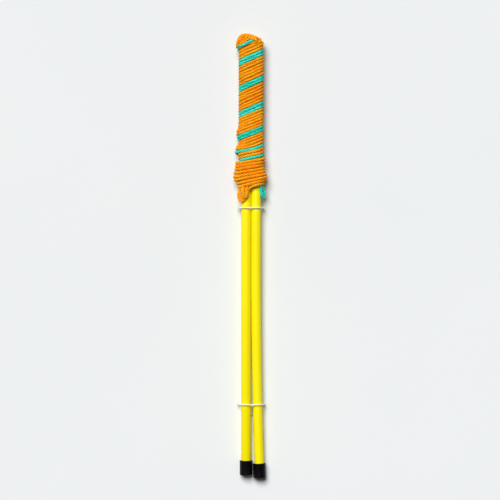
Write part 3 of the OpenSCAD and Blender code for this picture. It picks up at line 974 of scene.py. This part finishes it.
def tie_half(x, side, y):
    """One half of a tie: from the middle of the front round one tube to its twisted end."""
    points = [(0, 0, TIE_OUT), (x / 2, 0, TIE_OUT), (x, 0, TIE_OUT)]
    for degrees in TIE_ANGLES:
        a = math.radians(degrees)
        points.append((x + TIE_OUT * math.cos(a), 0, TIE_OUT * math.sin(a)))
    wide = TIE_W / 2 - TIE_R
    points += [
        (wide, 0, -TIE_OUT + 1.6 * TIE_CORNER),
        (wide - TIE_CORNER / 4, 0, -TIE_OUT + TIE_CORNER / 3),
        (wide - 1.3 * TIE_CORNER, 0, -TIE_OUT),
        (2.5 * TIE_CORNER, 0, -TIE_OUT),
        (1.1 * TIE_CORNER, -TIE_CORNER / 6, TAIL_SINK - TIE_R / 2),
    ]
    tail_r = TIE_R + TIE_CLEAR / 4
    for share in np.linspace(0, 1, TAIL_POINTS):
        a = 2 * math.pi * TAIL_TURNS * share
        tail_y, tail_z = -TIE_CORNER - TAIL_LEN * share, side * tail_r * math.sin(a)
        points.append((tail_r * math.cos(a), tail_y, TAIL_SINK + tail_z))
    return [np.array([side * px, py + y, pz]) for px, py, pz in points]


def right_x(y):
    """Where the right stick's middle is at a height."""
    if y >= BOW_Y:
        return HALF
    return HALF + BOW_R * (1 - math.cos(math.asin((BOW_Y - y) / BOW_R)))


def tie(name, y, node, body):
    """A tie at a height."""
    route = tie_half(right_x(y), 1, y)[::-1] + tie_half(HALF, -1, y)[1:]
    line = smoothed(route, TIE_STEP, FEW_AVERAGINGS)
    curve = bpy.data.curves.new(name, "CURVE")
    curve.dimensions = "3D"
    spline = curve.splines.new("POLY")
    spline.points.add(len(line) - 1)
    for point, place in zip(spline.points, line):
        point.co = (*place * MM, 1)
    curve.bevel_depth, curve.bevel_resolution = TIE_R * MM, TIE_ROUNDNESS
    curve.use_fill_caps = True
    piece = bpy.data.objects.new(name, curve)
    bpy.context.scene.collection.objects.link(piece)
    choose(piece)
    bpy.ops.object.convert(target="MESH")
    piece = bpy.context.object
    bevel(piece, "ends", TIE_END_BEVEL, segments=3, angle=TIE_END_ANGLE)
    apply_all(piece)
    lay_down(piece, body, node)
    return piece


ties = [
    tie("upper_clear_tie", UPPER_TIE_Y, "upper_tie", "tie_above"),
    tie("lower_clear_tie", LOWER_TIE_Y, "lower_tie", "tie_below"),
]

# %% [markdown]
# ## Finishes
#
# A finish is a small program of nodes. Two helpers keep it readable: a Wire is one socket
# that adds and multiplies like a number, and a Finish owns one material, and makes any
# other node by its type, its settings and what goes into its sockets.

# %% Wires and finishes
class Wire:
    """One output of a shader node, which can be used in plain arithmetic."""

    def __init__(self, finish, socket):
        self.finish, self.socket = finish, socket

    def maths(self, operation, *values):
        return self.finish.node("ShaderNodeMath", {"operation": operation}, dict(enumerate(values)))

    def __add__(self, other):
        return self.maths("ADD", self, other)

    def __sub__(self, other):
        return self.maths("SUBTRACT", self, other)

    def __rsub__(self, other):
        return self.maths("SUBTRACT", other, self)

    def __mul__(self, other):
        return self.maths("MULTIPLY", self, other)

    __radd__ = __add__
    __rmul__ = __mul__

    def swing(self, size):
        """A noise that goes up and down about nothing, by half the size."""
        return (self - 0.5) * size


def srgb(*channels):
    """A colour as a paint chart gives it, 0 to 255, in the linear values that light adds in."""
    shares = [channel / 255 for channel in channels]
    return (*[c / 12.92 if c < 0.04045 else ((c + 0.055) / 1.055) ** 2.4 for c in shares], 1)


class Finish:
    """A material, with plain numbers set on its shader's own sockets."""

    def __init__(self, name, **constants):
        self.material = bpy.data.materials.new(name)
        self.material.use_nodes = True
        self.tree = self.material.node_tree
        self.shader = self.tree.nodes["Principled BSDF"]
        for key, value in constants.items():
            self.shader.inputs[key.replace("_", " ")].default_value = value

    def feed(self, socket, value):
        """A wire is linked to the socket, and a plain value is set on it."""
        if isinstance(value, Wire):
            self.tree.links.new(value.socket, socket)
        else:
            socket.default_value = value

    def node(self, kind, settings=None, inputs=None, out=0):
        """Any node, as the wire of one of its outputs."""
        made = self.tree.nodes.new(kind)
        for key, value in (settings or {}).items():
            setattr(made, key, value)
        for key, value in (inputs or {}).items():
            self.feed(made.inputs[key], value)
        return Wire(self, made.outputs[out])

    def drive(self, **inputs):
        """What changes over the surface goes into the shader's sockets."""
        for key, value in inputs.items():
            self.feed(self.shader.inputs[key.replace("_", " ")], value)

    def place(self, which="Object"):
        return self.node("ShaderNodeTexCoord", out=which)

    def attribute(self, name):
        return self.node("ShaderNodeAttribute", {"attribute_name": name}, out="Fac")

    def noise(self, scale, detail=3, rough=0.55, stretch=(1, 1, 1)):
        """A cloudy pattern of so many cells in a metre, which can be stretched."""
        place = self.node("ShaderNodeMapping", {}, {"Vector": self.place(), "Scale": stretch})
        inputs = {"Vector": place, "Scale": scale, "Detail": detail, "Roughness": rough}
        return self.node("ShaderNodeTexNoise", {}, inputs)

    def mix(self, share, a, b):
        """A colour between a and b."""
        return self.node("ShaderNodeMix", {"data_type": "RGBA"}, {0: share, 6: a, 7: b}, out=2)

    def clamp(self, value):
        return self.node("ShaderNodeClamp", {}, {"Value": value})

    def spots(self, pattern, start, gain):
        """The spots where a pattern is above a start, with edges as steep as the gain."""
        return self.clamp((pattern - start) * gain)

    def bump(self, height, depth):
        """Small bumps, given by their height in shares of a depth in metres."""
        inputs = {"Height": height, "Distance": depth, "Strength": 1.0}
        return self.node("ShaderNodeBump", {}, inputs)

    def on(self, *pieces):
        """Gives the finish to pieces."""
        for piece in pieces:
            piece.data.materials.clear()
            piece.data.materials.append(self.material)
        print(self.material.name, "of", len(self.tree.nodes), "nodes:", *[p.name for p in pieces])


print("a mid grey of 128 is", round(srgb(128, 128, 128)[0], 3), "in linear values")

# %% [markdown]
# The rope is matt and fibrous. Shade is painted into its grooves and a highlight onto its
# crests, each ply has its own tone, the colour drifts along the cord as dye does, and fine
# fibres run along each ply.

# %% Rope finishes
# Painted shade: the crest share makes the grooves darker than the crests.
PAINTED_CREST_LIGHT = 0.75
PLY_LIGHT = 0.12
DRIFT_LIGHT = 0.8
PATCH_LIGHT = 0.7
# Painted highlight: past a start, the lightest places mix toward the light colour, as steeply as
# the gain.
PAINTED_HIGHLIGHT_GAIN = 1.6
PAINTED_HIGHLIGHT_START = 0.75
FIBRES_ALONG = 3.0
FIBRES_ROUND = 9.0
FIBRE_SWAY = 6
FIBRE_HEIGHT = 0.35
FUZZ_HEIGHT = 0.9


def rope_finish(name, highlight_and_light_dye, mid, groove_shade_and_deep_dye):
    """Dyed rope: painted shade in its grooves and a painted highlight on its crests, with drifting
    dye.
    """
    finish = Finish(name, Roughness=0.85, Specular_IOR_Level=0.15)
    uv = finish.place("UV")
    u = finish.node("ShaderNodeSeparateXYZ", {}, {0: uv}, out=0)
    v = finish.node("ShaderNodeSeparateXYZ", {}, {0: uv}, out=1)
    crest = finish.attribute("crest")
    ply = finish.attribute("ply")
    drift = finish.noise(scale=60)
    patch = finish.noise(scale=420, detail=2)
    # Painted shade and highlight follow the crest attribute here; ply, drift and patch add the
    # dye's own tone.
    lightness = crest * PAINTED_CREST_LIGHT + ply * PLY_LIGHT
    lightness = lightness + drift.swing(DRIFT_LIGHT) + patch.swing(PATCH_LIGHT)
    lightness = finish.clamp(lightness)
    colour = finish.mix(lightness, groove_shade_and_deep_dye, mid)
    # Painted highlight on the crests, also reached where the dye drifts light.
    colour = finish.mix(finish.clamp(lightness * PAINTED_HIGHLIGHT_GAIN - PAINTED_HIGHLIGHT_START), colour, highlight_and_light_dye)
    fibre = (u * FIBRES_ALONG + v * FIBRES_ROUND) * (2 * math.pi)
    fibre = fibre.maths("SINE", fibre + patch.swing(FIBRE_SWAY))
    fuzz = finish.noise(scale=2600, detail=2)
    height = fibre * FIBRE_HEIGHT + fuzz * FUZZ_HEIGHT
    finish.drive(Base_Color=colour, Normal=finish.bump(height, depth=0.045 * MM))
    return finish


# The light colours are painted highlights and the deep ones painted groove shade, both also moved
# by the dye.
green_finish = rope_finish(
    "green_rope_fibre", highlight_and_light_dye=srgb(110, 255, 245), mid=srgb(10, 245, 215), groove_shade_and_deep_dye=srgb(0, 165, 140)
)
orange_finish = rope_finish(
    "orange_rope_fibre", highlight_and_light_dye=srgb(255, 208, 40), mid=srgb(255, 168, 5), groove_shade_and_deep_dye=srgb(255, 118, 0)
)
green_finish.on(green_rope)
orange_finish.on(*orange_ropes, *knots)

# %% [markdown]
# The tubes are glossy extruded plastic. The die leaves faint lines along the tube, the
# colour is a little uneven, and handling leaves small scuffs that are less glossy.

# %% Yellow tube finish
tube_finish = Finish(
    "yellow_tube_plastic",
    Roughness=0.4,
    Specular_IOR_Level=0.2,
    Coat_Weight=0.04,
    Coat_Roughness=0.2,
)
die_lines = tube_finish.noise(scale=900, detail=2, stretch=(1, 0.004, 1))
cloud = tube_finish.noise(scale=14, detail=2)
scuffs = tube_finish.noise(scale=160, detail=6, rough=0.7, stretch=(1, 0.15, 1))
scuffed = tube_finish.spots(scuffs, start=0.6, gain=7)
uneven = tube_finish.clamp(cloud * 0.7 + die_lines * 0.3)
yellow = tube_finish.mix(uneven, srgb(255, 230, 0), srgb(255, 246, 8))
yellow = tube_finish.mix(scuffed * 0.25, yellow, srgb(245, 228, 60))
tube_finish.drive(
    Base_Color=yellow,
    Roughness=tube_finish.clamp(0.34 + cloud * 0.12 + scuffed * 0.25),
    Normal=tube_finish.bump(die_lines, depth=0.02 * MM),
)
tube_finish.on(left_tube, right_tube)

# %% [markdown]
# The caps are dip-moulded vinyl: black, dull-glossy, with a fine orange-peel skin and the
# dust that soft vinyl always picks up.

# %% Black cap finish
cap_finish = Finish("black_cap_vinyl", Roughness=0.45, IOR=1.5, Specular_IOR_Level=0.15)
peel = cap_finish.noise(scale=700)
dust = cap_finish.noise(scale=1900, detail=4, rough=0.7)
dust = cap_finish.spots(dust, start=0.58, gain=6)
smear = cap_finish.noise(scale=90)
black = cap_finish.mix(smear, srgb(3, 3, 5), srgb(10, 10, 12))
black = cap_finish.mix(dust * 0.1, black, srgb(80, 78, 74))
cap_finish.drive(
    Base_Color=black,
    Roughness=cap_finish.clamp(0.34 + smear * 0.15 + dust * 0.3),
    Normal=cap_finish.bump(peel, depth=0.03 * MM),
)
cap_finish.on(*caps)

# %% [markdown]
# The bushes are the same yellow, moulded instead of extruded, so they have no lines and a
# slightly duller skin. The ties are clear plastic that has gone milky.

# %% Bush and tie finishes
bush_finish = Finish("yellow_bush_plastic", Roughness=0.4, IOR=1.49)
grain = bush_finish.noise(scale=1200)
bush_finish.drive(
    Base_Color=bush_finish.mix(grain, srgb(238, 205, 5), srgb(250, 225, 20)),
    Roughness=bush_finish.clamp(0.32 + grain * 0.2),
    Normal=bush_finish.bump(grain, depth=0.02 * MM),
)
bush_finish.on(*bushes)
tie_finish = Finish("milky_tie_plastic", Roughness=0.3, IOR=1.45, Transmission_Weight=0.15)
milk = tie_finish.noise(scale=500)
tie_finish.drive(
    Base_Color=tie_finish.mix(milk, srgb(250, 247, 212), srgb(255, 254, 232)),
    Roughness=tie_finish.clamp(0.22 + milk * 0.2),
    Normal=tie_finish.bump(milk, depth=0.03 * MM),
)
tie_finish.on(*ties)

# %% [markdown]
# ## The studio
#
# A plain pale floor, a sky that is bright all round and dark overhead, and one soft key
# lamp from beyond the tips and a little from the left, which gives each strand a light
# upper edge and a dark lower one. A sky that is bright overhead too would lie as a white
# veil on the tubes.

# %% Floor and light
FLOOR_SIZE = 6
LAMP_TILT = (math.radians(-27), math.radians(-13), 0)
LAMP_STRENGTH = 3.5
LAMP_WIDTH = math.radians(36)
SKY_RAMP = {"From Min": 0.75, "From Max": 0.97, "To Min": 1.65, "To Max": 0.25}
bpy.ops.mesh.primitive_plane_add(size=FLOOR_SIZE, location=(0, 0, 0))
floor = bpy.context.object
floor.name = "pale_floor"
floor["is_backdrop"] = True
floor_finish = Finish("pale_floor_paint", Roughness=0.9, Specular_IOR_Level=0.2)
tone = floor_finish.noise(scale=3, detail=2)
floor_finish.drive(Base_Color=floor_finish.mix(tone, srgb(232, 235, 236), srgb(238, 240, 240)))
floor_finish.on(floor)
bpy.ops.object.light_add(type="SUN", rotation=LAMP_TILT)
lamp = bpy.context.object
lamp.data.energy, lamp.data.angle = LAMP_STRENGTH, LAMP_WIDTH
world = bpy.data.worlds.new("studio")
bpy.context.scene.world = world
world.use_nodes = True
sky = world.node_tree.nodes
link = world.node_tree.links.new
direction = sky.new("ShaderNodeTexCoord")
split = sky.new("ShaderNodeSeparateXYZ")
ramp = sky.new("ShaderNodeMapRange")
link(direction.outputs["Generated"], split.inputs[0])
link(split.outputs["Z"], ramp.inputs["Value"])
for name, value in SKY_RAMP.items():
    ramp.inputs[name].default_value = value
link(ramp.outputs["Result"], sky["Background"].inputs["Strength"])
bpy.context.scene.view_settings.view_transform = "Standard"
print("lamp strength", LAMP_STRENGTH, "and", len(bpy.data.materials), "materials in all")

# %% [markdown]
# ## The dressed model's box
#
# The box round the dressed model is measured and its size printed.

# %% The dressed model's box, and the last line
final_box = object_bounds()
final_size = np.array(final_box[1]) - np.array(final_box[0])
print("the dressed model measures", *(final_size / MM).round(1), "mm")
